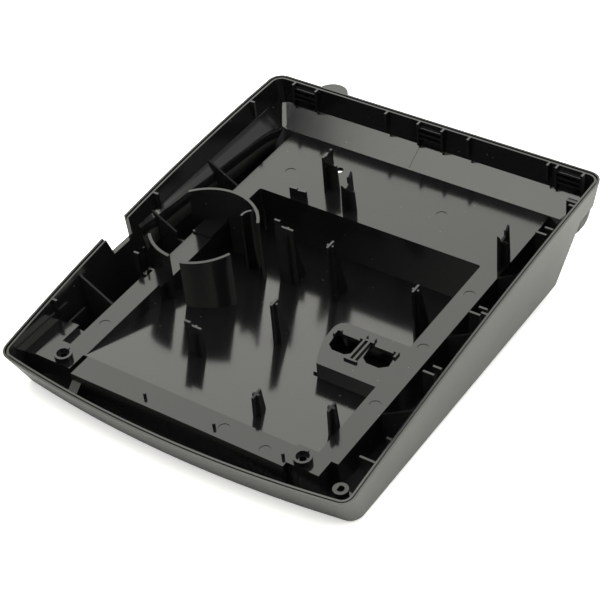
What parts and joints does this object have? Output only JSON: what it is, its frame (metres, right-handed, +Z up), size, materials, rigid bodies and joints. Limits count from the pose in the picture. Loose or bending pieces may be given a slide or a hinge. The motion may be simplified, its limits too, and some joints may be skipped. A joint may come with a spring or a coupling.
{
  "type": "desk-set base housing",
  "caption": "Open plastic base housing of a desk set: curved front wall, wedge-shaped well, speaker ring, jack block, screw bosses and posts.",
  "frame": {"origin": "on the mid-plane at table level, in the middle of the flat under the rear edge of the well", "axes": "+Z up, +Y towards the straight rear wall, X across; the mould's draw direction leans 4.7 degrees forward from +Z"},
  "size_m": [0.2066, 0.2599, 0.0587],
  "materials": {
    "housing": "black ABS: spark textured outside, semi-gloss inside"
  },
  "bodies": {
    "root": {"housing": "housing"}
  },
  "joints": []
}
